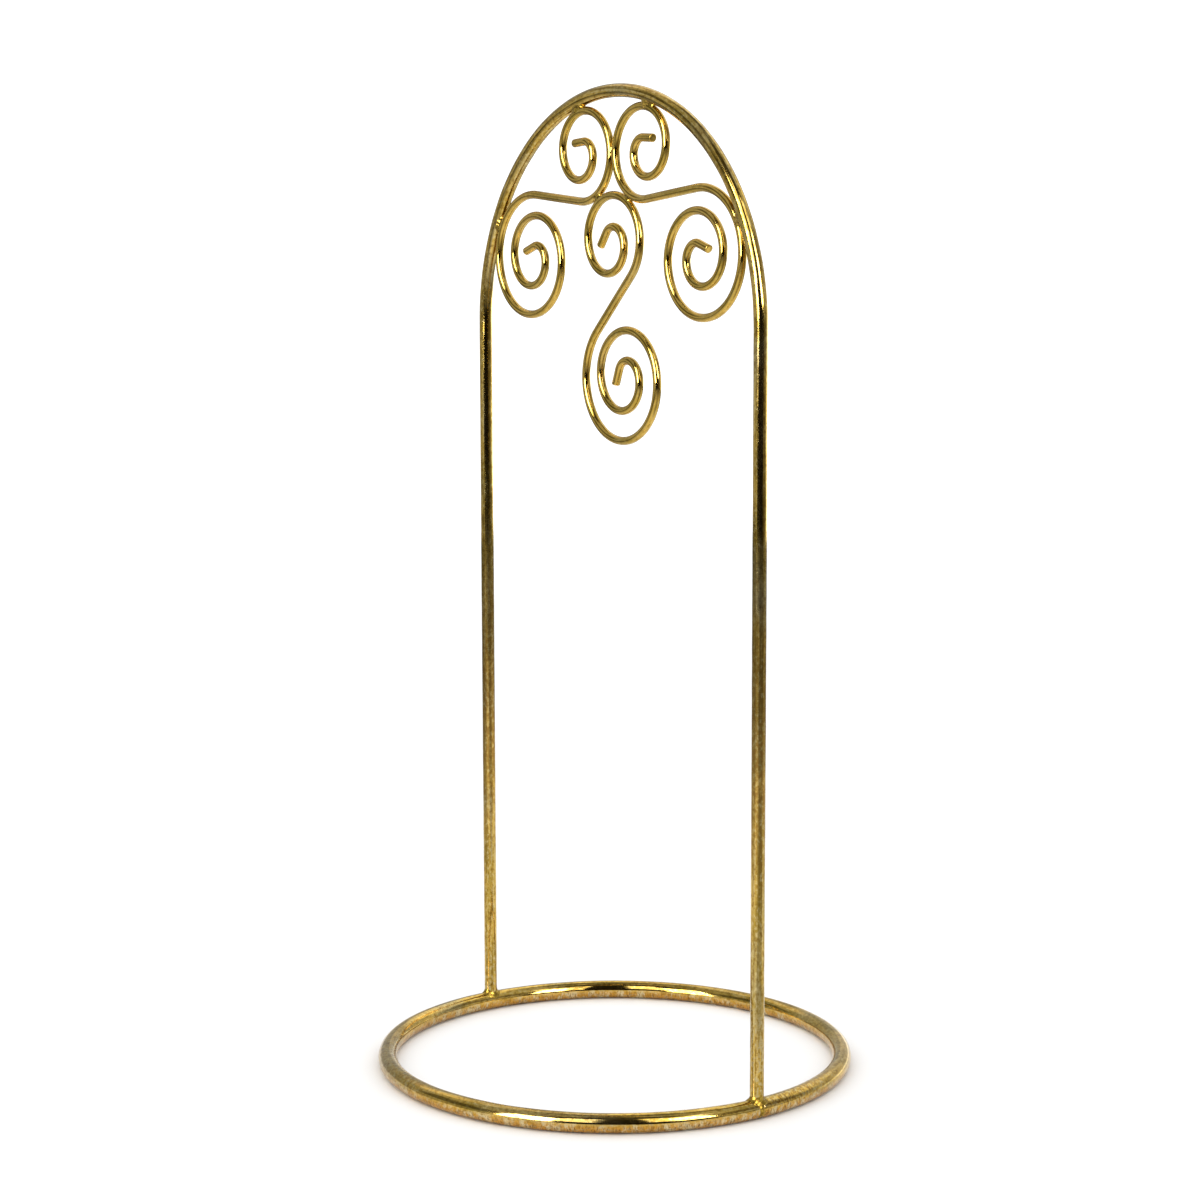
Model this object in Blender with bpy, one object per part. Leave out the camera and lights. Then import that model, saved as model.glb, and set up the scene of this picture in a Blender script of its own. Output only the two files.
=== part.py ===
"""Tabletop wreath and ornament frame, bent from brass-plated steel wire.

A round base ring lies flat. An arch of lighter wire stands on it, with one
foot at each end of a diameter. Three scrolls of the same bent form fill the
head of the arch: a pair that mirror each other under the crown, and one that
hangs below them and ends in the large open curl that carries the wreath.
Weld beads join the wires wherever they meet.

The arch and the scrolls lie in the XZ plane. The origin is the middle of the
base ring, on the surface that the frame stands on. +Z is up.
"""

import math

import bmesh
import bpy
import numpy as np
from mathutils import Matrix

MM = 0.001
CLEARANCE = 0.3 * MM          # between pieces that touch
SHARP_ANGLE = math.radians(50)

# Base ring
RING_RADIUS = 55.0 * MM       # to the middle of the wire
RING_WIRE_RADIUS = 2.25 * MM
RING_STEPS = 72
RING_SIDES = 14               # 4n + 2, which puts a flat at the very bottom
RING_HEIGHT = RING_WIRE_RADIUS

# Arch: two straight uprights and a half ellipse between their tops
ARCH_WIRE_RADIUS = 1.6 * MM
SPRING_HEIGHT = RING_HEIGHT + 175.4 * MM
CROWN_RISE = 54.3 * MM
UPRIGHT_STEPS = 6
CROWN_STEPS = 44
FINE_CROWN_STEPS = 600        # for finding where a scroll comes closest to it
ARCH_ROUNDNESS = 3            # bevel resolution, for 12 sides

# Scrolls: a straight arm with a small curl at one end and a large one at the
# other. Each curl tightens steadily: its bend radii are given at every half
# turn, from the arm inwards, and it ends in a short straight tip.
SCROLL_WIRE_RADIUS = 1.0 * MM
ARM_LENGTH = 18.9 * MM
SMALL_CURL = (11.2 * MM, 10.1 * MM, 6.3 * MM, 2.9 * MM)
SMALL_CURL_TURN = math.radians(550)
LARGE_CURL = (15.2 * MM, 13.9 * MM, 10.3 * MM, 6.9 * MM, 3.1 * MM)
LARGE_CURL_TURN = math.radians(745)
TIP_LENGTH = 4.0 * MM
CURL_STEP = math.radians(15)
FINE_STEP = math.radians(1)   # for finding where two wires come closest
SCROLL_ROUNDNESS = 2          # bevel resolution, for 10 sides
END_MERGE = 0.01 * MM         # joins the caps of a wire to its sides

# Where each scroll's arm has its middle, and which way the arm points from the
# small curl to the large one
PAIR_SPREAD = 22.55 * MM
PAIR_HEIGHT = RING_HEIGHT + 205.5 * MM
PAIR_TILT = math.radians(6.1)
LEFT_ARM = (-PAIR_SPREAD, PAIR_HEIGHT, math.pi - PAIR_TILT)
RIGHT_ARM = (PAIR_SPREAD, PAIR_HEIGHT, PAIR_TILT)
CENTRE_ARM = (0.3 * MM, RING_HEIGHT + 180.45 * MM, math.radians(-136.1))

# Weld beads: half sizes along the wires, from wire to wire, and front to back.
# They are long enough for the wires to part before the bead ends.
ARCH_BEAD = (2.8 * MM, 0.6 * MM, 1.2 * MM)
SCROLL_BEAD = (2.0 * MM, 0.5 * MM, 1.1 * MM)
FOOT_BEAD = (2.1 * MM, 1.0 * MM, 2.1 * MM)
BUTT_THICKNESS = 0.6 * MM
BUTT_RADIUS = RING_WIRE_RADIUS - 0.05 * MM
BUTT_SEGMENTS = 24
GAP_REACH = 4 * RING_WIRE_RADIUS   # of the slot for the butt weld, right through the wire
BEAD_SEGMENTS = 14
BEAD_RINGS = 8

# Finishes: colour and roughness
RING_FINISH = ((0.62, 0.43, 0.16), 0.28)
WIRE_FINISH = ((0.66, 0.47, 0.18), 0.2)
WELD_FINISH = ((0.7, 0.5, 0.2), 0.3)


def clear_scene():
    for item in list(bpy.data.objects):
        bpy.data.objects.remove(item, do_unlink=True)


def new_collection(name):
    collection = bpy.data.collections.new(name)
    bpy.context.scene.collection.children.link(collection)
    return collection


def metal(name, colour, roughness):
    material = bpy.data.materials.new(name)
    material.use_nodes = True
    shader = material.node_tree.nodes["Principled BSDF"]
    shader.inputs["Base Color"].default_value = (*colour, 1.0)
    shader.inputs["Metallic"].default_value = 1.0
    shader.inputs["Roughness"].default_value = roughness
    return material


# Outlines, as lists of (x, z) pairs ------------------------------------------

def curl(start, heading, radii, turn, side, step):
    """Points after start along a curl that turns to one side (1 left, -1 right)."""
    count = math.ceil(turn / step)
    bend = turn / count
    x, z = start
    points = []
    for i in range(count):
        turned = (i + 0.5) * bend
        radius = np.interp(turned / math.pi, range(len(radii)), radii)
        chord = 2 * radius * math.sin(bend / 2)
        x += chord * math.cos(heading + side * turned)
        z += chord * math.sin(heading + side * turned)
        points.append((x, z))
    x += TIP_LENGTH * math.cos(heading + side * turn)
    z += TIP_LENGTH * math.sin(heading + side * turn)
    points.append((x, z))
    return points


def scroll(arm, side, step=CURL_STEP):
    """The small curl and the large curl, each from its end of the arm inwards."""
    x, z, heading = arm
    across = 0.5 * ARM_LENGTH * math.cos(heading)
    up = 0.5 * ARM_LENGTH * math.sin(heading)
    small_root = (x - across, z - up)
    large_root = (x + across, z + up)
    small = curl(small_root, heading + math.pi, SMALL_CURL, SMALL_CURL_TURN, side, step)
    large = curl(large_root, heading, LARGE_CURL, LARGE_CURL_TURN, side, step)
    return [small_root] + small, [large_root] + large


def crown(steps):
    points = []
    for i in range(steps + 1):
        angle = math.pi * (1 - i / steps)
        x = RING_RADIUS * math.cos(angle)
        points.append((x, SPRING_HEIGHT + CROWN_RISE * math.sin(angle)))
    return points


def arch():
    foot = RING_HEIGHT + RING_WIRE_RADIUS + CLEARANCE
    heights = [foot + (SPRING_HEIGHT - foot) * i / UPRIGHT_STEPS for i in range(UPRIGHT_STEPS)]
    left = [(-RING_RADIUS, z) for z in heights]
    right = [(RING_RADIUS, z) for z in reversed(heights)]
    return left + crown(CROWN_STEPS) + right


def meeting(one, other):
    """Where two outlines come closest: the midpoint, and the angle of the wires there."""
    a = np.array(one)[:, None, :]
    b = np.array(other)[None, :, :]
    apart = ((a - b) ** 2).sum(axis=2)
    i, j = np.unravel_index(apart.argmin(), apart.shape)
    first, second = np.array(one[i]), np.array(other[j])
    middle = (first + second) / 2
    link = second - first
    return middle[0], middle[1], math.atan2(link[1], link[0]) + math.pi / 2


# Pieces ----------------------------------------------------------------------

def wire(name, outline, radius, resolution, material, collection):
    """A bent round wire with square-cut ends, as a mesh that cutters can work on."""
    curve = bpy.data.curves.new(name + "_centre_line", "CURVE")
    curve.dimensions = "3D"
    curve.bevel_depth = radius
    curve.bevel_resolution = resolution
    curve.use_fill_caps = True
    spline = curve.splines.new("POLY")
    spline.points.add(len(outline) - 1)
    for point, (x, z) in zip(spline.points, outline):
        point.co = (x, 0, z, 1)
    guide = bpy.data.objects.new(name + "_centre_line", curve)
    collection.objects.link(guide)

    bpy.context.view_layer.update()
    depsgraph = bpy.context.evaluated_depsgraph_get()
    mesh = bpy.data.meshes.new_from_object(guide.evaluated_get(depsgraph))
    mesh.name = name
    shape = bmesh.new()
    shape.from_mesh(mesh)
    bmesh.ops.remove_doubles(shape, verts=shape.verts, dist=END_MERGE)
    bmesh.ops.recalc_face_normals(shape, faces=shape.faces)
    shape.to_mesh(mesh)
    shape.free()

    piece = bpy.data.objects.new(name, mesh)
    piece.matrix_world = guide.matrix_world
    bpy.data.objects.remove(guide, do_unlink=True)
    finish(piece, material, collection)
    return piece


def ring(name, material, collection):
    """The base ring, whose faceted wire has one flat all round at the bottom."""
    bpy.ops.mesh.primitive_torus_add(
        location=(0, 0, RING_HEIGHT),
        major_radius=RING_RADIUS,
        minor_radius=RING_WIRE_RADIUS / math.cos(math.pi / RING_SIDES),
        major_segments=RING_STEPS,
        minor_segments=RING_SIDES,
    )
    piece = bpy.context.object
    piece.name = name
    finish(piece, material, collection)
    return piece


def bead(name, place, half_sizes, material, collection):
    """A rounded weld bead. place is its x, z and the angle of the wires it joins."""
    x, z, angle = place
    along, across, deep = half_sizes
    mesh = bpy.data.meshes.new(name)
    shape = bmesh.new()
    bmesh.ops.create_uvsphere(
        shape, u_segments=BEAD_SEGMENTS, v_segments=BEAD_RINGS, radius=1.0,
        matrix=Matrix.Diagonal((along, deep, across, 1.0)),
    )
    shape.to_mesh(mesh)
    shape.free()
    piece = bpy.data.objects.new(name, mesh)
    piece.location = (x, 0, z)
    piece.rotation_euler = (0, -angle, 0)
    finish(piece, material, collection)
    return piece


def butt_bead(name, material, collection):
    """The disc of weld metal that closes the base ring under the right foot."""
    mesh = bpy.data.meshes.new(name)
    shape = bmesh.new()
    bmesh.ops.create_cone(
        shape, cap_ends=True, segments=BUTT_SEGMENTS, radius1=BUTT_RADIUS, radius2=BUTT_RADIUS,
        depth=BUTT_THICKNESS, matrix=Matrix.Rotation(math.pi / 2, 4, "X"),
    )
    shape.to_mesh(mesh)
    shape.free()
    piece = bpy.data.objects.new(name, mesh)
    piece.location = (RING_RADIUS, 0, RING_HEIGHT)
    finish(piece, material, collection)
    return piece


def finish(piece, material, collection):
    piece.data.materials.clear()
    piece.data.materials.append(material)
    piece.data.shade_smooth()
    piece.data.set_sharp_from_angle(angle=SHARP_ANGLE)
    for other in list(piece.users_collection):
        other.objects.unlink(piece)
    collection.objects.link(piece)


def cut(target, cutter):
    modifier = target.modifiers.new("cut_" + cutter.name, "BOOLEAN")
    modifier.operation = "DIFFERENCE"
    modifier.solver = "EXACT"
    modifier.object = cutter


def as_cutter(piece):
    piece.hide_render = True
    piece.display_type = "WIRE"
    return piece


def weld(name, place, half_sizes, joined, material, collection, cutters):
    """A bead, bedded into each of the pieces that it joins."""
    bead(name, place, half_sizes, material, collection)
    room = [size + CLEARANCE for size in half_sizes]
    pocket = as_cutter(bead(name + "_pocket", place, room, material, cutters))
    for piece in joined:
        cut(piece, pocket)


def ring_gap(material, cutters):
    """The slot where the ends of the ring's wire leave room for their butt weld."""
    width = BUTT_THICKNESS + 2 * CLEARANCE
    mesh = bpy.data.meshes.new("ring_gap")
    shape = bmesh.new()
    bmesh.ops.create_cube(shape, size=1.0, matrix=Matrix.Diagonal((GAP_REACH, width, GAP_REACH, 1.0)))
    shape.to_mesh(mesh)
    shape.free()
    piece = bpy.data.objects.new("ring_gap", mesh)
    piece.location = (RING_RADIUS, 0, RING_HEIGHT)
    finish(piece, material, cutters)
    return as_cutter(piece)


def build():
    clear_scene()
    parts = new_collection("wreath_frame")
    cutters = new_collection("cutters")
    ring_brass = metal("ring_brass", *RING_FINISH)
    wire_brass = metal("wire_brass", *WIRE_FINISH)
    weld_brass = metal("weld_brass", *WELD_FINISH)

    base_ring = ring("base_ring", ring_brass, parts)
    cut(base_ring, ring_gap(ring_brass, cutters))
    butt = butt_bead("ring_butt_weld", weld_brass, parts)
    arch_wire = wire("arch_wire", arch(), ARCH_WIRE_RADIUS, ARCH_ROUNDNESS, wire_brass, parts)

    scrolls = {}
    small_curls = {}
    large_curls = {}
    for name, arm, side in (("left", LEFT_ARM, 1), ("right", RIGHT_ARM, -1), ("centre", CENTRE_ARM, 1)):
        small, large = scroll(arm, side)
        scrolls[name] = wire(
            name + "_scroll", small[::-1] + large, SCROLL_WIRE_RADIUS, SCROLL_ROUNDNESS, wire_brass, parts
        )
        small_curls[name], large_curls[name] = scroll(arm, side, FINE_STEP)

    crown_line = crown(FINE_CROWN_STEPS)
    welds = []
    for name in ("left", "right"):
        upper = meeting(crown_line, small_curls[name])
        lower = meeting(crown_line, large_curls[name])
        welds.append(("upper_" + name + "_weld", upper, ARCH_BEAD, [arch_wire, scrolls[name]]))
        welds.append(("lower_" + name + "_weld", lower, ARCH_BEAD, [arch_wire, scrolls[name]]))
        hung = meeting(small_curls[name], small_curls["centre"])
        joined = [scrolls[name], scrolls["centre"]]
        welds.append(("centre_" + name + "_weld", hung, SCROLL_BEAD, joined))
    pair = meeting(small_curls["left"], small_curls["right"])
    welds.append(("middle_weld", pair, SCROLL_BEAD, [scrolls["left"], scrolls["right"]]))
    ring_top = RING_HEIGHT + RING_WIRE_RADIUS
    welds.append(("left_foot_weld", (-RING_RADIUS, ring_top, 0), FOOT_BEAD, [base_ring, arch_wire]))
    welds.append(("right_foot_weld", (RING_RADIUS, ring_top, 0), FOOT_BEAD, [base_ring, arch_wire, butt]))
    for name, place, half_sizes, joined in welds:
        weld(name, place, half_sizes, joined, weld_brass, parts, cutters)


build()
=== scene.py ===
import functools
import itertools
import math

import bpy
import numpy as np
from mathutils import Matrix, Vector


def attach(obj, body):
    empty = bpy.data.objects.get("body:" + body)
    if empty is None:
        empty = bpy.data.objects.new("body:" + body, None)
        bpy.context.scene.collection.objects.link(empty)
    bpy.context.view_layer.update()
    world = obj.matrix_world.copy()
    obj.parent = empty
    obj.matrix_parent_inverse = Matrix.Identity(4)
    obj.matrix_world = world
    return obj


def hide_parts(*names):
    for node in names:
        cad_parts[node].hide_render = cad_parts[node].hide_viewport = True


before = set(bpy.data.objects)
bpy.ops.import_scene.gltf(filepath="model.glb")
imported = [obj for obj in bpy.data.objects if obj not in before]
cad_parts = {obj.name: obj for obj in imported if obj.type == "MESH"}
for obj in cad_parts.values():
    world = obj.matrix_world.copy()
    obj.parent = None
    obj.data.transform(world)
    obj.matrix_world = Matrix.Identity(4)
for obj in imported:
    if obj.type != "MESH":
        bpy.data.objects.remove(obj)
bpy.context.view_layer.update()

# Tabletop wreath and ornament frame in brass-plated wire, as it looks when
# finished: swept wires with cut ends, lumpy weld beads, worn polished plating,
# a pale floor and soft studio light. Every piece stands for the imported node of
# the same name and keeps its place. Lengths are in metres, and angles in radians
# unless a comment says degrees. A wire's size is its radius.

MM = 0.001

# Wire sizes and centre lines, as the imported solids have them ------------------

RING_RADIUS = 55.0 * MM        # to the middle of the wire
RING_WIRE = 2.25 * MM
RING_HEIGHT = RING_WIRE
RING_TOP = RING_HEIGHT + RING_WIRE
RING_GAP = 0.6 * MM            # between its ends, under the right foot
RING_POINTS = 432

ARCH_WIRE = 1.6 * MM
ARCH_SINK = 0.4 * MM           # of its feet below the ring's top, inside the foot welds
SPRING_HEIGHT = RING_HEIGHT + 175.4 * MM
CROWN_RISE = 54.3 * MM
CROWN_POINTS = 220

# A curl's radii are half a turn apart, from its root inwards
SCROLL_WIRE = 1.0 * MM
ARM_LENGTH = 18.9 * MM
SMALL_CURL = (11.2 * MM, 10.1 * MM, 6.3 * MM, 2.9 * MM)
SMALL_CURL_TURN = math.radians(550)
LARGE_CURL = (15.2 * MM, 13.9 * MM, 10.3 * MM, 6.9 * MM, 3.1 * MM)
LARGE_CURL_TURN = math.radians(745)
TIP_LENGTH = 4.0 * MM
CURL_STEP = math.radians(4)
STRAIGHT_STEP = 0.8 * MM

# Each scroll's arm: its middle, its heading towards the large curl, and the side
# that its curls turn to
PAIR_SPREAD = 22.55 * MM
PAIR_HEIGHT = RING_HEIGHT + 205.5 * MM
PAIR_TILT = math.radians(6.1)
ARMS = {
    "left": (-PAIR_SPREAD, PAIR_HEIGHT, math.pi - PAIR_TILT, 1),
    "right": (PAIR_SPREAD, PAIR_HEIGHT, PAIR_TILT, -1),
    "centre": (0.3 * MM, RING_HEIGHT + 180.45 * MM, math.radians(-136.1), 1),
}


def straight(start, end):
    """Evenly spaced points from start to end."""
    start, end = np.array(start), np.array(end)
    count = max(2, round(math.dist(start, end) / STRAIGHT_STEP))
    return [tuple(start + (end - start) * i / count) for i in range(count + 1)]


def curl(start, heading, radii, turn, side):
    """Points after start along a curl that tightens, then along its straight tip."""
    count = math.ceil(turn / CURL_STEP)
    bend = turn / count
    x, z = start
    points = []
    for i in range(count):
        turned = (i + 0.5) * bend
        radius = np.interp(turned / math.pi, range(len(radii)), radii)
        chord = 2 * radius * math.sin(bend / 2)
        x += chord * math.cos(heading + side * turned)
        z += chord * math.sin(heading + side * turned)
        points.append((x, z))
    tip_heading = heading + side * turn
    tip = (x + TIP_LENGTH * math.cos(tip_heading), z + TIP_LENGTH * math.sin(tip_heading))
    return points + straight((x, z), tip)[1:]


def scroll_line(x, z, heading, side):
    """From the tip of the small curl, along the arm, to the tip of the large curl."""
    across = 0.5 * ARM_LENGTH * math.cos(heading)
    up = 0.5 * ARM_LENGTH * math.sin(heading)
    small_root, large_root = (x - across, z - up), (x + across, z + up)
    small = curl(small_root, heading + math.pi, SMALL_CURL, SMALL_CURL_TURN, side)
    large = curl(large_root, heading, LARGE_CURL, LARGE_CURL_TURN, side)
    return in_arch_plane(small[::-1] + straight(small_root, large_root) + large)


def arch_line():
    """From the left foot, over the crown, to the right foot."""
    foot = RING_TOP - ARCH_SINK
    upright = straight((-RING_RADIUS, foot), (-RING_RADIUS, SPRING_HEIGHT))[:-1]
    crown = [
        (RING_RADIUS * math.cos(a), SPRING_HEIGHT + CROWN_RISE * math.sin(a))
        for a in np.linspace(math.pi, 0, CROWN_POINTS)
    ]
    return in_arch_plane(upright + crown + [(-x, z) for x, z in reversed(upright)])


def in_arch_plane(points):
    x, z = np.array(points).T
    return np.column_stack((x, np.zeros(len(x)), z))


def ring_line():
    half_gap = RING_GAP / 2 / RING_RADIUS
    angles = np.linspace(half_gap, 2 * math.pi - half_gap, RING_POINTS)
    heights = np.full(RING_POINTS, RING_HEIGHT)
    return np.column_stack((RING_RADIUS * np.cos(angles), RING_RADIUS * np.sin(angles), heights))


LINES = {"base_ring": ring_line(), "arch_wire": arch_line()}
WIRES = {"base_ring": RING_WIRE, "arch_wire": ARCH_WIRE}
for side_name, arm in ARMS.items():
    LINES[side_name + "_scroll"] = scroll_line(*arm)
    WIRES[side_name + "_scroll"] = SCROLL_WIRE
ARCH_LENGTH = np.linalg.norm(np.diff(LINES["arch_wire"], axis=0), axis=1).sum()


# Wires ------------------------------------------------------------------------

RIPPLE_WAVES = 9


def ripple(points, size, seed):
    """Smooth, repeatable unevenness, mostly from -1 to 1, with features about size across."""
    rng = np.random.default_rng(seed)
    total = np.zeros(len(points))
    for _ in range(RIPPLE_WAVES):
        direction = rng.normal(size=3)
        wave_length = size * rng.uniform(0.7, 1.8)
        direction *= 2 * math.pi / (wave_length * np.linalg.norm(direction))
        total += np.sin(points @ direction + rng.uniform(0, 2 * math.pi))
    return total / (1.5 * math.sqrt(RIPPLE_WAVES))


def new_piece(name, vertices, faces, material):
    """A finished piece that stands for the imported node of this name."""
    mesh = bpy.data.meshes.new(name)
    mesh.from_pydata([tuple(v) for v in vertices], [], faces)
    mesh.validate()
    mesh.shade_smooth()
    mesh.materials.append(material)
    piece = bpy.data.objects.new(name + "_finished", mesh)
    bpy.context.scene.collection.objects.link(piece)
    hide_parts(name)
    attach(piece, "root")
    return piece


# A cut end, from the last full section of the wire to its face: how far along
# and how far in, as shares of the wire's radius
CUT_END = ((0.0, 0.0), (0.12, 0.015), (0.2, 0.06), (0.25, 0.14), (0.27, 0.3), (0.28, 0.6))
CUT_LENGTH = CUT_END[-1][0]


def cut_end(end, outwards, radius, shear):
    """A cut end's sections, from full to face: centre, radius, distance from the end, slant."""
    sections = []
    for share_along, share_in in CUT_END:
        from_end = (CUT_LENGTH - share_along) * radius
        slant = shear * share_along / CUT_LENGTH
        sections.append((end - outwards * from_end, radius * (1 - share_in), from_end, slant))
    return sections


def wire_sections(line, radius, shears):
    """A wire's sections: centres, ways along, radii, distances along and slants."""
    along = np.concatenate(([0], np.cumsum(np.linalg.norm(np.diff(line, axis=0), axis=1))))
    ways = np.gradient(line, along, axis=0)
    ways /= np.linalg.norm(ways, axis=1)[:, None]
    clear_of_end = 1.5 * CUT_LENGTH * radius
    first = np.searchsorted(along, clear_of_end)
    last = np.searchsorted(along, along[-1] - clear_of_end)
    sections = [
        (centre, ways[0], size, place, slant)
        for centre, size, place, slant in reversed(cut_end(line[0], -ways[0], radius, -shears[0]))
    ]
    sections += [(line[i], ways[i], radius, along[i], 0.0) for i in range(first, last)]
    sections += [
        (centre, ways[-1], size, along[-1] - place, slant)
        for centre, size, place, slant in cut_end(line[-1], ways[-1], radius, shears[1])
    ]
    return [np.array(column) for column in zip(*sections)]


def tube_faces(rows, sides):
    """Faces of a closed tube whose points are its rows of sides, then the middles of its ends."""
    faces = []
    for i in range(rows - 1):
        for j in range(sides):
            k = (j + 1) % sides
            faces.append((i * sides + j, (i + 1) * sides + j, (i + 1) * sides + k, i * sides + k))
    last_row = (rows - 1) * sides
    start, end = rows * sides, rows * sides + 1
    for j in range(sides):
        k = (j + 1) % sides
        faces.append((start, j, k))
        faces.append((end, last_row + k, last_row + j))
    return faces


WIRE_RIPPLE = 4.0 * MM


def wire(name, sides, normal, material, unevenness, seed, shears=(0.0, 0.0), nicks=()):
    """A round wire along its line, with cut ends. normal is square to the bend's plane.

    A nick is its distance along the wire, its angle round it, its reach and its depth.
    Each vertex keeps its place on the wire, across and along, for the finish."""
    radius = WIRES[name]
    centres, ways, radii, places, slants = wire_sections(LINES[name], radius, shears)
    normal = np.array(normal, float)
    inward = np.cross(normal, ways)
    angles = np.linspace(0, 2 * math.pi, sides, endpoint=False)
    on_wire = np.stack((
        np.outer(radii, np.cos(angles)),
        np.outer(radii, np.sin(angles)),
        np.repeat(places[:, None], sides, axis=1),
    ), axis=-1)
    drawn_out = on_wire.reshape(-1, 3) * (1, 1, 0.5)
    bumps = unevenness * ripple(drawn_out, WIRE_RIPPLE, seed).reshape(on_wire.shape[:2])
    for place, angle, reach, depth in nicks:
        from_nick = on_wire[..., 2] - place
        around = np.angle(np.exp(1j * (angles - angle))) * radius
        across = around[None, :] - 0.5 * from_nick
        bumps -= depth * np.exp(-(from_nick / reach) ** 2 - (across / (0.5 * reach)) ** 2)
    out = (1 + bumps / radius)[..., None]
    vertices = (
        centres[:, None, :]
        + inward[:, None, :] * on_wire[..., :1] * out
        + normal * on_wire[..., 1:2] * out
        + ways[:, None, :] * (slants[:, None] * on_wire[..., 0])[..., None]
    ).reshape(-1, 3)
    vertices = np.vstack((vertices, centres[0], centres[-1]))
    piece = new_piece(name, vertices, tube_faces(len(radii), sides), material)
    attribute = piece.data.attributes.new("wire", "FLOAT_VECTOR", "POINT")
    kept = np.vstack((on_wire.reshape(-1, 3), (0, 0, places[0]), (0, 0, places[-1])))
    attribute.data.foreach_set("vector", kept.astype(np.float32).ravel())


# Weld metal -------------------------------------------------------------------
# A bead is given by a field, which says how far a point is outside its surface,
# and is below 0 inside.

def to_line(points, line):
    """Distance from each point to a centre line near them."""
    best = np.full(len(points), np.inf)
    for start, end in zip(line[:-1], line[1:]):
        way = end - start
        share = np.clip(((points - start) @ way) / (way @ way), 0, 1)
        best = np.minimum(best, np.linalg.norm(points - start - share[:, None] * way, axis=1))
    return best


def from_ring(points):
    """Distance from each point to the ring's centre line."""
    from_axis = np.hypot(points[:, 0], points[:, 1]) - RING_RADIUS
    return np.hypot(from_axis, points[:, 2] - RING_HEIGHT)


def blended(first, second, width):
    """Two fields joined by a fillet: the field, and how much of a fillet is there."""
    width = np.maximum(width, 1e-9)
    near = np.maximum(width - np.abs(first - second), 0) / width
    return np.minimum(first, second) - near * near * width / 4, near


def at_corner(values, corner):
    """The values at one corner, such as (0, 1, 1), of every cell of a grid."""
    i, j, k = corner
    width, depth, height = (n - 1 for n in values.shape[:3])
    return values[i:i + width, j:j + depth, k:k + height]


def cell_vertices(values, grid):
    """A vertex in every cell that the surface crosses, midway between its crossings of
    the cell's edges, and each cell's vertex number, or -1."""
    cells = tuple(n - 1 for n in values.shape)
    total, count = np.zeros(cells + (3,)), np.zeros(cells)
    for corner in itertools.product((0, 1), repeat=3):
        for axis in range(3):
            if corner[axis] == 1:
                continue
            other = tuple(1 if i == axis else corner[i] for i in range(3))
            here, there = at_corner(values, corner), at_corner(values, other)
            start, end = at_corner(grid, corner), at_corner(grid, other)
            crosses = (here < 0) != (there < 0)
            share = np.where(crosses, here / np.where(crosses, here - there, 1), 0)
            total += np.where(crosses[..., None], start + share[..., None] * (end - start), 0)
            count += crosses
    used = count > 0
    numbers = np.full(cells, -1)
    numbers[used] = np.arange(used.sum())
    return total[used] / count[used][:, None], numbers


def crossing_quads(inside, numbers):
    """A quad round every edge of the grid that the surface crosses, facing outwards."""
    faces = []
    for axis in range(3):
        u, v = (axis + 1) % 3, (axis + 2) % 3
        for cell in np.argwhere(inside != np.roll(inside, -1, axis)):
            if cell[axis] == inside.shape[axis] - 1 or cell[u] == 0 or cell[v] == 0:
                continue
            around = []
            for back_u, back_v in ((0, 0), (1, 0), (1, 1), (0, 1)):
                neighbour = cell.copy()
                neighbour[u] -= back_u
                neighbour[v] -= back_v
                around.append(int(numbers[tuple(neighbour)]))
            faces.append(tuple(around if inside[tuple(cell)] else around[::-1]))
    return faces


def drawn_to_surface(vertices, field, pitch):
    """The vertices, moved down the field's slope to where it is 0, by short steps."""
    step = pitch / 2
    for _ in range(2):
        slope = np.stack([
            (field(vertices + step * way) - field(vertices - step * way)) / (2 * step)
            for way in np.eye(3)
        ], axis=-1)
        steepness = np.maximum((slope ** 2).sum(axis=1), 0.25)
        move = -(field(vertices) / steepness)[:, None] * slope
        too_far = np.maximum(np.linalg.norm(move, axis=1) / (0.7 * pitch), 1)
        vertices = vertices + move / too_far[:, None]
    return vertices


def skinned(field, low, high, pitch):
    """A closed mesh of the part of a field's solid that is in a box."""
    axes = [np.arange(a, b + pitch, pitch) for a, b in zip(low, high)]
    grid = np.stack(np.meshgrid(*axes, indexing="ij"), axis=-1)
    values = field(grid.reshape(-1, 3)).reshape(grid.shape[:3])
    edge = np.ones(values.shape, bool)
    edge[1:-1, 1:-1, 1:-1] = False
    values[edge] = np.maximum(values[edge], pitch)
    vertices, numbers = cell_vertices(values, grid)
    return drawn_to_surface(vertices, field, pitch), crossing_quads(values < 0, numbers)


SKIN = 0.3 * MM             # how deep a bead's metal reaches into the wires
SUNK = 0.04 * MM            # how far its edges lie under their surfaces
BEAD_PITCH = 0.13 * MM      # of its mesh
BEAD_MARGIN = 0.3 * MM      # of its mesh's box
EDGE_RIPPLE = (1.8 * MM, 0.35)
LUMP_SIZE = 1.1 * MM


def bead(name, centre, reach, first, second, width, length, along, lumps, seed, material):
    """Weld metal in the angle between two solids, each given by its field.

    It is width across in the middle and tapers off at length to each side of it, the
    way that along points. Lumps is how high its lumps stand. Nothing passes reach."""
    def field(points):
        one, other = first(points), second(points)
        taper = np.clip(1 - (((points - centre) @ along) / length) ** 2, 0, 1)
        taper = taper * (1 + EDGE_RIPPLE[1] * ripple(points, EDGE_RIPPLE[0], seed))
        joined, near = blended(one, other, width * taper)
        fill = np.clip(near * 2.5, 0, 1) * (taper > 0)
        outer = joined - lumps * fill * ripple(points, LUMP_SIZE, seed + 1) + SUNK * (1 - fill)
        outer = np.maximum(outer, -(np.minimum(one, other) + SKIN))
        away = np.linalg.norm((points - centre) / reach, axis=1) - 1
        return np.maximum(outer, away * min(reach))

    box_reach = reach + BEAD_MARGIN
    vertices, faces = skinned(field, centre - box_reach, centre + box_reach, BEAD_PITCH)
    new_piece(name, vertices, faces, material)


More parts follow.
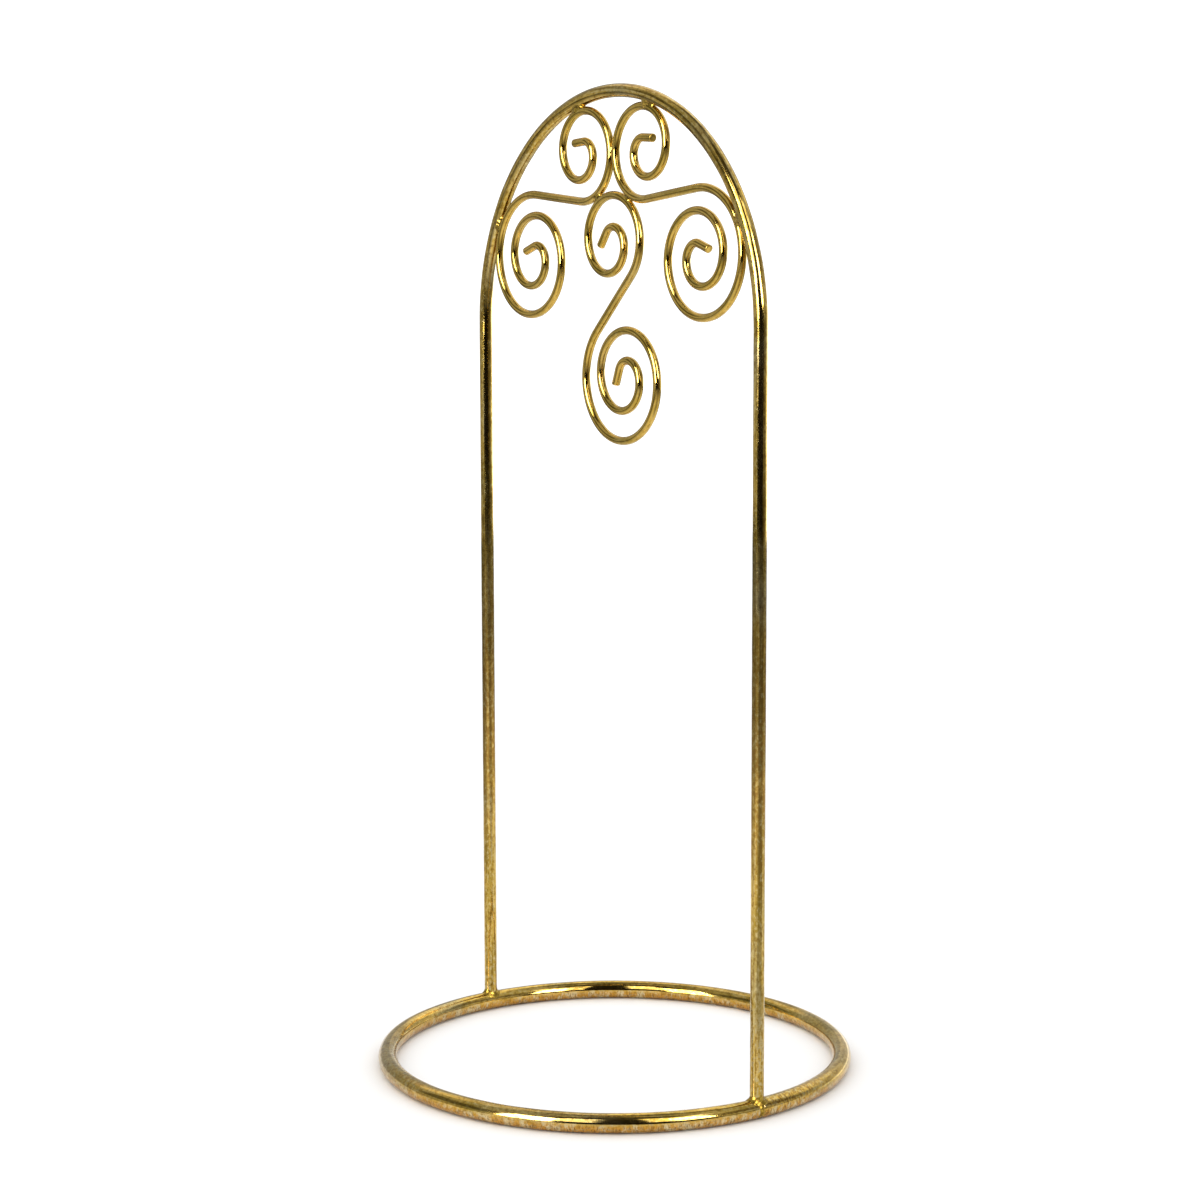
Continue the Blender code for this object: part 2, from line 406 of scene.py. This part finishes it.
CONTACT_BAND = 12 * MM       # of height, in which to look for a contact
CONTACT_REACH = 7 * MM       # along each wire from the contact
ARCH_BEAD = (1.5 * MM, 2.9 * MM)      # width and length of a bead on the arch
SCROLL_BEAD = (1.0 * MM, 2.2 * MM)    # and of one between two scrolls


def stretch_near(line, place):
    """The one stretch of a line that passes closest to a place."""
    from_place = np.linalg.norm(line - place, axis=1)
    closest = from_place.argmin()
    far = np.flatnonzero(from_place >= CONTACT_REACH)
    start = max(far[far < closest], default=0)
    end = min(far[far > closest], default=len(line) - 1)
    return line[start:end + 1]


def contact_bead(name, one, other, height, lumps, seed, material):
    """A bead where two wires touch side by side, close to a height above the ring."""
    radii = WIRES[one], WIRES[other]
    width, length = ARCH_BEAD if one == "arch_wire" else SCROLL_BEAD
    lines = LINES[one], LINES[other]
    a, b = (line[np.abs(line[:, 2] - RING_HEIGHT - height) < CONTACT_BAND] for line in lines)
    apart = np.linalg.norm(a[:, None] - b[None], axis=2)
    i, j = np.unravel_index(apart.argmin(), apart.shape)
    link = b[j] - a[i]
    link /= np.linalg.norm(link)
    centre = (a[i] + link * radii[0] + b[j] - link * radii[1]) / 2
    near_a, near_b = stretch_near(lines[0], a[i]), stretch_near(lines[1], b[j])
    reach = np.array((1.15 * length, 1.3 * min(radii), 1.15 * length))
    bead(
        name, centre, reach,
        lambda points: to_line(points, near_a) - radii[0],
        lambda points: to_line(points, near_b) - radii[1],
        width, length, np.cross(link, (0, 1, 0)), lumps, seed, material,
    )


FOOT_REACH = np.array((2.7, 2.9, 2.0)) * MM
FOOT_FILLET = 1.25 * MM
FOOT_LENGTH = 40 * MM        # so long that the fillet is as wide all round
FOOT_LUMPS = 0.02 * MM


def foot_bead(name, side, seed, material):
    """The small fillet round an upright where it stands on the ring."""
    centre = np.array((side * RING_RADIUS, 0, RING_TOP + 0.1 * MM))
    up = np.array((0, 0, 1))
    bead(
        name, centre, FOOT_REACH,
        lambda points: from_ring(points) - RING_WIRE,
        lambda points: np.hypot(points[:, 0] - centre[0], points[:, 1]) - ARCH_WIRE,
        FOOT_FILLET, FOOT_LENGTH, up, FOOT_LUMPS, seed, material,
    )


SEAM_REACH = np.array((2.6, 0.9, 2.6)) * MM
SEAM_PITCH = 0.14 * MM
SEAM_THICKNESS = 1.4 * MM
SEAM_CROWN = (0.09 * MM, 0.55 * MM)      # how proud it stands, and out to where
SEAM_RIPPLE = (1.0 * MM, 0.05 * MM)
SEAM_MOST = 0.11 * MM
SEAM_FLUSH = 0.6 * MM        # below this height it isn't proud, so that the ring lies flat


def butt_seam(name, seed, material):
    """The thin seam of weld metal that closes the ring under its right foot."""
    def field(points):
        proud = SEAM_CROWN[0] * (1 - (points[:, 1] / SEAM_CROWN[1]) ** 2)
        proud = proud + SEAM_RIPPLE[1] * ripple(points, SEAM_RIPPLE[0], seed)
        proud = np.minimum(proud, SEAM_MOST)
        proud = np.where(points[:, 2] < SEAM_FLUSH, np.minimum(proud, 0), proud)
        ends = np.abs(points[:, 1]) - SEAM_THICKNESS / 2
        return np.maximum(from_ring(points) - RING_WIRE - proud, ends)

    centre = np.array((RING_RADIUS, 0, RING_HEIGHT))
    vertices, faces = skinned(field, centre - SEAM_REACH, centre + SEAM_REACH, SEAM_PITCH)
    new_piece(name, vertices, faces, material)


# Finishes ---------------------------------------------------------------------

class Nodes:
    """Short calls for building one tree of nodes. Values are sockets or plain numbers."""

    def __init__(self, tree):
        self.tree = tree

    def put(self, socket, value):
        """Link a value to a socket, or set it there."""
        if isinstance(value, bpy.types.NodeSocket):
            self.tree.links.new(value, socket)
        elif socket.type == "RGBA":
            socket.default_value = (*value, 1.0)
        else:
            socket.default_value = value

    def add(self, kind, inputs=(), **settings):
        """A new node, with some settings and some inputs, by name or number."""
        node = self.tree.nodes.new(kind)
        for key, value in settings.items():
            setattr(node, key, value)
        for key, value in dict(inputs).items():
            self.put(node.inputs[key], value)
        return node

    def maths(self, operation, *values):
        return self.add("ShaderNodeMath", enumerate(values), operation=operation).outputs[0]

    def scaled(self, vector, scale):
        return self.add("ShaderNodeVectorMath", {0: vector, 1: scale}, operation="MULTIPLY").outputs[0]

    def along(self, vector, way):
        """How far a vector goes along a way."""
        node = self.add("ShaderNodeVectorMath", {0: vector, 1: way}, operation="DOT_PRODUCT")
        return node.outputs["Value"]

    def noise(self, vector, scale, detail, roughness):
        inputs = {"Vector": vector, "Scale": scale, "Detail": detail, "Roughness": roughness}
        return self.add("ShaderNodeTexNoise", inputs).outputs["Fac"]

    def ranged(self, value, low, high, at_low=0.0, at_high=1.0):
        """at_low up to low, at_high from high on, and a smooth step in between."""
        inputs = {
            "Value": value, "From Min": low, "From Max": high, "To Min": at_low, "To Max": at_high,
        }
        return self.add("ShaderNodeMapRange", inputs, interpolation_type="SMOOTHSTEP").outputs["Result"]

    def between(self, angle, low, high, soft):
        """1 between two angles, 0 beyond them, soft to each side; all in degrees."""
        low, high, soft = math.radians(low), math.radians(high), math.radians(soft)
        above = self.ranged(angle, low - soft, low + soft)
        below = self.ranged(angle, high + soft, high - soft)
        return self.maths("MULTIPLY", above, below)

    def mixed(self, share, first, second):
        return self.add("ShaderNodeMix", {0: share, 6: first, 7: second}, data_type="RGBA").outputs[2]

    def bump(self, height, distance, under=None):
        """The normal of a bumpy surface, on top of another bump's if there is one."""
        node = self.add("ShaderNodeBump", {"Height": height, "Distance": distance, "Strength": 1.0})
        if under is not None:
            self.put(node.inputs["Normal"], under)
        return node.outputs["Normal"]


def brass(name):
    """A new metal material and the calls for its nodes."""
    material = bpy.data.materials.new(name)
    material.use_nodes = True
    material.node_tree.nodes["Principled BSDF"].inputs["Metallic"].default_value = 1.0
    return material, Nodes(material.node_tree)


def finished(material, nodes, colour, rough, normal):
    shader = material.node_tree.nodes["Principled BSDF"]
    for key, value in (("Base Color", colour), ("Roughness", rough), ("Normal", normal)):
        nodes.put(shader.inputs[key], value)
    return material


BRIGHT = (0.63, 0.41, 0.085)
PALE = (0.77, 0.6, 0.26)
OLIVE = (0.41, 0.275, 0.042)
DARK = (0.24, 0.15, 0.02)
GREY = (0.45, 0.37, 0.19)
BROWN = (0.2, 0.1, 0.02)
ORANGE = (0.62, 0.31, 0.045)
TAN = (0.36, 0.2, 0.045)
# Chalky pale for the ring's underside: partly a real chalky stain, partly a painted reflection of the
# pale floor below
CHALKY_AND_FLOOR_SHEEN = (0.76, 0.65, 0.4)

# The kinds of unevenness in plated wire, each a noise: its scale, how much of it is
# kept across and along the wire (less than 1 draws it out), its detail and roughness
WEAR = {
    "patches": (260, 1, 0.35, 2, 0.55),
    "clouds": (90, 1, 0.5, 2, 0.55),
    "specks": (1500, 1, 0.6, 3, 0.65),
    "lines": (1700, 1, 0.03, 2, 0.6),       # left by the drawing of the wire
    "waves": (600, 1, 0.15, 1, 0.55),
    "ticks": (3000, 0.25, 1, 3, 0.7),       # rubbed across it
    "bands": (620, 0.5, 1, 4, 0.65),
}
SMOOTHEST = 0.05
WAVE_BUMP, LINE_BUMP, PATCH_BUMP, TICK_BUMP = 50e-6, 22e-6, 8e-6, 22e-6
TAN_FADE = 22 * MM
SCUFF_FADE = 12 * MM
STAIN_AND_SHEEN_FADE = 0.7 * MM        # above and below the wire's middle


def plating(name, patchy, streaky, hazy, underside_stain_and_sheen=0.0, scuffed=(), scuffs=0.0, tanned=()):
    """Polished brass plate on wire: patches of duller plate, draw lines along the
    wire, specks and haze. The lower side may be stained orange and chalky pale, the pale
    partly a painted reflection of the floor below it, and stretches of the wire, given by
    where they start and end along it, scuffed across or tanned."""
    material, nodes = brass(name)
    on_wire = nodes.add("ShaderNodeAttribute", attribute_name="wire").outputs["Vector"]
    split = nodes.add("ShaderNodeSeparateXYZ", {0: on_wire})

    @functools.cache
    def wear(kind):
        scale, across, along, detail, roughness = WEAR[kind]
        return nodes.noise(nodes.scaled(on_wire, (across, across, along)), scale, detail, roughness)

    def shows(kind, low, high, at_low, at_high, mask=None):
        share = nodes.ranged(wear(kind), low, high, at_low, at_high)
        return share if mask is None else nodes.maths("MULTIPLY", share, mask)

    def on_stretches(stretches, fade, elsewhere):
        mask = elsewhere
        for start, end in stretches:
            started = nodes.ranged(split.outputs["Z"], start - fade, start + fade)
            ended = nodes.ranged(split.outputs["Z"], end + fade, end - fade)
            mask = nodes.maths("MAXIMUM", mask, nodes.maths("MULTIPLY", started, ended))
        return mask

    colour = nodes.mixed(shows("patches", 0.38, 0.66, 0, 1), BRIGHT, OLIVE)
    colour = nodes.mixed(shows("lines", 0.5, 0.62, 0, 0.8 * streaky), colour, DARK)
    colour = nodes.mixed(shows("lines", 0.42, 0.34, 0, 0.6 * streaky), colour, PALE)
    colour = nodes.mixed(shows("clouds", 0.5, 0.72, 0, patchy), colour, GREY)
    colour = nodes.mixed(shows("specks", 0.53, 0.68, 0, 0.8 * patchy), colour, PALE)
    colour = nodes.mixed(shows("specks", 0.48, 0.36, 0, 0.8 * patchy), colour, BROWN)
    rough = shows("clouds", 0.35, 0.7, SMOOTHEST, SMOOTHEST + hazy)
    rough = nodes.maths("MULTIPLY_ADD", wear("lines"), 0.04, rough)
    normal = nodes.bump(wear("waves"), WAVE_BUMP * streaky)
    normal = nodes.bump(wear("lines"), LINE_BUMP * streaky, normal)
    normal = nodes.bump(wear("patches"), PATCH_BUMP, normal)

    if tanned:
        tan = on_stretches(tanned, TAN_FADE, 0.0)
        colour = nodes.mixed(shows("specks", 0.42, 0.58, 0.9, 0.2, tan), colour, TAN)
    low = nodes.ranged(split.outputs["Y"], STAIN_AND_SHEEN_FADE, -STAIN_AND_SHEEN_FADE, 0.0, underside_stain_and_sheen)
    # Lower side: a real orange stain, and a chalky pale that is partly a painted reflection of the
    # floor below
    if underside_stain_and_sheen:
        stain_and_floor_sheen = nodes.mixed(shows("bands", 0.47, 0.6, 0, 1), ORANGE, CHALKY_AND_FLOOR_SHEEN)
        colour = nodes.mixed(shows("specks", 0.25, 0.5, 0, 1, low), colour, stain_and_floor_sheen)
        rough = nodes.maths("MULTIPLY_ADD", low, 0.1, rough)
    if scuffed:
        used = on_stretches(scuffed, SCUFF_FADE, shows("patches", 0.35, 0.6, 0, 0.25))
        used = nodes.maths("MAXIMUM", used, low)
        colour = nodes.mixed(shows("specks", 0.45, 0.65, 0, 0.8, used), colour, GREY)
        colour = nodes.mixed(shows("ticks", 0.48, 0.62, 0, scuffs, used), colour, BROWN)
        rough = nodes.maths("ADD", rough, shows("ticks", 0.3, 0.7, 0.02, 0.12, used))
        normal = nodes.bump(nodes.maths("MULTIPLY", wear("ticks"), used), TICK_BUMP, normal)
    return finished(material, nodes, colour, rough, normal)


SPOT_BUMP, LUMP_BUMP = 8e-6, 25e-6


def weld_plating(name, smoothest, roughest, hollows, lumps):
    """Plate over weld metal: lumps and hollows of two colours, and burnt spots."""
    material, nodes = brass(name)
    place = nodes.add("ShaderNodeTexCoord").outputs["Object"]
    lumpy = nodes.noise(place, 700, 3, 0.55)
    spotty = nodes.noise(place, 1700, 3, 0.7)
    colour = nodes.mixed(nodes.ranged(lumpy, 0.4, 0.6), hollows, lumps)
    colour = nodes.mixed(nodes.ranged(spotty, 0.52, 0.66), colour, BROWN)
    rough = nodes.ranged(spotty, 0.3, 0.7, smoothest, roughest)
    normal = nodes.bump(spotty, SPOT_BUMP, nodes.bump(lumpy, LUMP_BUMP))
    return finished(material, nodes, colour, rough, normal)


# The object -------------------------------------------------------------------

# Stretches of the ring from its weld round to its weld, and of the arch from its
# left foot. One that is to reach the end of its wire in full goes on past it.
RING_SCUFFS = ((-50 * MM, 25 * MM), (218 * MM, 262 * MM), (345 * MM, 400 * MM))
ARCH_SCUFFS = ((-20 * MM, 12 * MM), (ARCH_LENGTH - 26 * MM, ARCH_LENGTH + 20 * MM))
ARCH_TANS = ((50 * MM, 100 * MM), (ARCH_LENGTH - 96 * MM, ARCH_LENGTH - 56 * MM))
ARCH_NICK = (3.6 * MM, -0.5, 0.9 * MM, 0.28 * MM)

ring_finish = plating("ring_plating", 0.65, 0.4, 0.04, 0.9, RING_SCUFFS, 0.85)
arch_finish = plating("arch_plating", 0.75, 1.0, 0.06, 0.0, ARCH_SCUFFS, 0.15, ARCH_TANS)
scroll_finish = plating("scroll_plating", 0.35, 0.25, 0.03)
weld_finish = weld_plating("weld_plating", 0.07, 0.2, OLIVE, BRIGHT)
foot_finish = weld_plating("foot_plating", 0.22, 0.4, DARK, OLIVE)

UP, BACK = (0, 0, 1), (0, 1, 0)
wire("base_ring", 32, UP, ring_finish, 0.02 * MM, 3)
wire("arch_wire", 28, BACK, arch_finish, 0.022 * MM, 5, nicks=(ARCH_NICK,))
SCROLL_SHEARS = {"left": (0.12, 0.08), "right": (0.12, -0.2), "centre": (0.12, 0.08)}
for number, side_name in enumerate(ARMS):
    wire(
        side_name + "_scroll", 22, BACK, scroll_finish,
        0.012 * MM, 11 + number, SCROLL_SHEARS[side_name],
    )

# Welds between wires that touch: the two wires, the contact's height above the
# ring's middle, and how high the bead's lumps stand
CONTACTS = {
    "upper_left_weld": ("arch_wire", "left_scroll", 226 * MM, 0.12 * MM),
    "upper_right_weld": ("arch_wire", "right_scroll", 226 * MM, 0.12 * MM),
    "lower_left_weld": ("arch_wire", "left_scroll", 199 * MM, 0.05 * MM),
    "lower_right_weld": ("arch_wire", "right_scroll", 199 * MM, 0.05 * MM),
    "middle_weld": ("left_scroll", "right_scroll", 214 * MM, 0.05 * MM),
    "centre_left_weld": ("left_scroll", "centre_scroll", 205 * MM, 0.05 * MM),
    "centre_right_weld": ("right_scroll", "centre_scroll", 205 * MM, 0.05 * MM),
}
for number, (weld_name, contact) in enumerate(CONTACTS.items()):
    contact_bead(weld_name, *contact, 40 + 3 * number, weld_finish)
foot_bead("left_foot_weld", -1, 71, foot_finish)
foot_bead("right_foot_weld", 1, 75, foot_finish)
butt_seam("ring_butt_weld", 31, foot_finish)


# Studio -----------------------------------------------------------------------

CAMERA_PLACE = Vector((0.503404, -0.362483, 0.190504))
AZIMUTH, PITCH, ROLL = math.radians(54.548), math.radians(7.153), math.radians(-0.136)
FOCAL_LENGTH, SENSOR_WIDTH = 78.81, 36      # in millimetres
TO_CAMERA = Vector((math.sin(AZIMUTH), -math.cos(AZIMUTH), 0))
CAMERA_RIGHT = Vector((math.cos(AZIMUTH), math.sin(AZIMUTH), 0))

# In the studio, azimuth 0 is towards the camera and positive to its right.
# Upright light panels round the arch's crown: from and to azimuth, from and to
# elevation, in degrees, and their strength
PANELS = {
    "left_softbox": (-56, -30, -1, 40, 14.0),
    "left_softbox_edge": (-30, -10, 13, 56, 2.8),
    "right_softbox": (28, 47, 8, 40, 14.0),
    "right_softbox_edge": (17, 28, 11, 56, 2.8),
    "right_bounce": (28, 58, 42, 54, 2.0),
}
PANEL_AIM = Vector((0, 0, 0.2))
PANEL_DISTANCE = 1.4
PANEL_STEPS = 8


def emitter(name, strength):
    material = bpy.data.materials.new(name)
    material.use_nodes = True
    material.node_tree.nodes.clear()
    nodes = Nodes(material.node_tree)
    glow = nodes.add("ShaderNodeEmission", {"Color": (1, 1, 1), "Strength": strength})
    nodes.add("ShaderNodeOutputMaterial", {"Surface": glow.outputs[0]})
    return material


def panel(name, low_azimuth, high_azimuth, low_elevation, high_elevation, strength):
    vertices = []
    for azimuth in np.radians(np.linspace(low_azimuth, high_azimuth, PANEL_STEPS + 1)):
        way = TO_CAMERA * math.cos(azimuth) + CAMERA_RIGHT * math.sin(azimuth)
        for elevation in (low_elevation, high_elevation):
            rise = Vector((0, 0, math.tan(math.radians(elevation))))
            vertices.append(PANEL_AIM + PANEL_DISTANCE * (way + rise))
    faces = [(2 * i, 2 * i + 2, 2 * i + 3, 2 * i + 1) for i in range(PANEL_STEPS)]
    piece = stage_piece(name, vertices, faces, emitter(name, strength))
    piece.visible_camera = False
    piece.visible_diffuse = False
    piece.visible_shadow = False


def stage_piece(name, vertices, faces, material):
    mesh = bpy.data.meshes.new(name)
    mesh.from_pydata(vertices, [], faces)
    mesh.materials.append(material)
    piece = bpy.data.objects.new(name, mesh)
    bpy.context.scene.collection.objects.link(piece)
    return piece


PALE_FLOOR = (0.82, 0.82, 0.82)
BLACK = (0.0, 0.0, 0.0)
FLOOR_RADIUS = 1.3
FLOOR_SIDES = 96


def floor_material():
    """A pale floor. The wires mirror it with painted light and shade in its colour: lit near
    the object only, less on its left, with painted spilt light towards the left softbox and
    painted shade towards the right one."""
    material = bpy.data.materials.new("studio_floor")
    material.use_nodes = True
    nodes = Nodes(material.node_tree)
    place = nodes.add("ShaderNodeTexCoord").outputs["Object"]
    away = nodes.add("ShaderNodeVectorMath", {0: place}, operation="LENGTH").outputs["Value"]
    across, near = nodes.along(place, CAMERA_RIGHT), nodes.along(place, TO_CAMERA)
    azimuth = nodes.maths("ARCTAN2", across, near)
    beyond = nodes.ranged(away, 0.07, 0.16)
    spill = nodes.maths("MULTIPLY", nodes.between(azimuth, -50, -12, 8), beyond)
    shade = nodes.maths("MULTIPLY", nodes.between(azimuth, 0, 62, 10), beyond)

    lit = nodes.ranged(away, 0.16, 0.7, 1.05, 0.32)
    for share in (
        nodes.ranged(away, 0.85, 1.25, 1.0, 0.15),
        nodes.ranged(across, -0.3, 0.0, 0.6, 1.0),
        nodes.maths("MULTIPLY_ADD", spill, 0.5, 1.0),
        nodes.maths("MULTIPLY_ADD", shade, -0.5, 1.0),
    ):
        lit = nodes.maths("MULTIPLY", lit, share)
    # The colour the wires mirror: painted light near the object, painted shade farther off, a painted
    # spill of light to the left and painted shade to the right
    mirrored = nodes.mixed(lit, BLACK, PALE_FLOOR)
    path = nodes.add("ShaderNodeLightPath")
    colour = nodes.mixed(path.outputs["Is Glossy Ray"], PALE_FLOOR, mirrored)
    shader = material.node_tree.nodes["Principled BSDF"]
    for key, value in (("Base Color", colour), ("Roughness", 0.9), ("Specular IOR Level", 0.1)):
        nodes.put(shader.inputs[key], value)
    return material


def floor():
    angles = np.linspace(0, 2 * math.pi, FLOOR_SIDES, endpoint=False)
    rim = [(FLOOR_RADIUS * math.cos(a), FLOOR_RADIUS * math.sin(a), 0) for a in angles]
    stage_piece("floor", rim, [tuple(range(FLOOR_SIDES))], floor_material())


# The room that polished wire mirrors: from and to azimuth, from and to elevation and
# the softness of the edges, in degrees, and the light from there. Later rows cover
# earlier ones, and the light is ROOM_REST where there is no row.
ROOM_REST = (0.52, 0.53, 0.53)
ROOM = (
    (-175, -50, -12, 62, 8, (0.56, 0.58, 0.58)),      # left of the object
    (-112, -50, 15, 40, 6, (0.17, 0.17, 0.14)),
    (50, 175, -12, 62, 8, (0.62, 0.64, 0.64)),        # right of it
    (50, 105, 16, 38, 6, (0.28, 0.26, 0.22)),
    (44, 82, -22, 5, 7, (0.25, 0.24, 0.2)),
    (-48, 50, -30, 66, 7, (0.012, 0.01, 0.008)),      # dark, round the camera
    (-48, 50, 58, 95, 7, (0.09, 0.085, 0.07)),        # above the camera
    (-200, -138, 62, 95, 6, (0.2, 0.2, 0.18)),        # above and behind the object
    (138, 200, 62, 95, 6, (0.2, 0.2, 0.18)),
    (-200, -118, -40, 34, 6, (0.5, 0.52, 0.52)),      # the wall behind, on the left
    (-200, -130, 34, 62, 6, (1.1, 1.05, 1.0)),
    (112, 200, -40, 4, 6, (2.6, 2.7, 2.7)),           # the wall behind, on the right
    (112, 200, 4, 27, 6, (0.7, 0.7, 0.68)),
    (110, 200, 27, 60, 6, (1.4, 1.4, 1.35)),
)
PLAIN_LIGHT = 1.35


def studio_world():
    """White all round for the camera and the floor; the room above for the wires."""
    world = bpy.data.worlds.new("studio")
    world.use_nodes = True
    world.node_tree.nodes.clear()
    nodes = Nodes(world.node_tree)
    direction = nodes.add("ShaderNodeTexCoord").outputs["Generated"]
    towards, right = nodes.along(direction, TO_CAMERA), nodes.along(direction, CAMERA_RIGHT)
    azimuth = nodes.maths("ARCTAN2", right, towards)
    elevation = nodes.maths("ARCSINE", nodes.along(direction, UP))
    room = ROOM_REST
    for low_azimuth, high_azimuth, low_elevation, high_elevation, soft, light in ROOM:
        beside = nodes.between(azimuth, low_azimuth, high_azimuth, soft)
        level = nodes.between(elevation, low_elevation, high_elevation, soft)
        room = nodes.mixed(nodes.maths("MULTIPLY", beside, level), room, light)

    mirrored = nodes.add("ShaderNodeBackground", {"Color": room, "Strength": 1.0})
    plain = nodes.add("ShaderNodeBackground", {"Color": (1, 1, 1), "Strength": PLAIN_LIGHT})
    path = nodes.add("ShaderNodeLightPath")
    seen = nodes.add("ShaderNodeMixShader", {
        0: path.outputs["Is Glossy Ray"], 1: plain.outputs[0], 2: mirrored.outputs[0],
    })
    nodes.add("ShaderNodeOutputWorld", {"Surface": seen.outputs[0]})
    bpy.context.scene.world = world


def camera():
    forward = -TO_CAMERA * math.cos(PITCH) - Vector((0, 0, math.sin(PITCH)))
    level_up = CAMERA_RIGHT.cross(forward)
    right = math.cos(ROLL) * CAMERA_RIGHT + math.sin(ROLL) * level_up
    up = -math.sin(ROLL) * CAMERA_RIGHT + math.cos(ROLL) * level_up
    turned = Matrix((right, up, -forward)).transposed().to_4x4()
    data = bpy.data.cameras.new("camera")
    data.lens = FOCAL_LENGTH
    data.sensor_width = SENSOR_WIDTH
    data.clip_start = 10 * MM
    piece = bpy.data.objects.new("camera", data)
    piece.matrix_world = Matrix.Translation(CAMERA_PLACE) @ turned
    bpy.context.scene.collection.objects.link(piece)
    bpy.context.scene.camera = piece


for panel_name, measures in PANELS.items():
    panel(panel_name, *measures)
floor()
studio_world()
camera()
bpy.context.scene.view_settings.view_transform = "Standard"
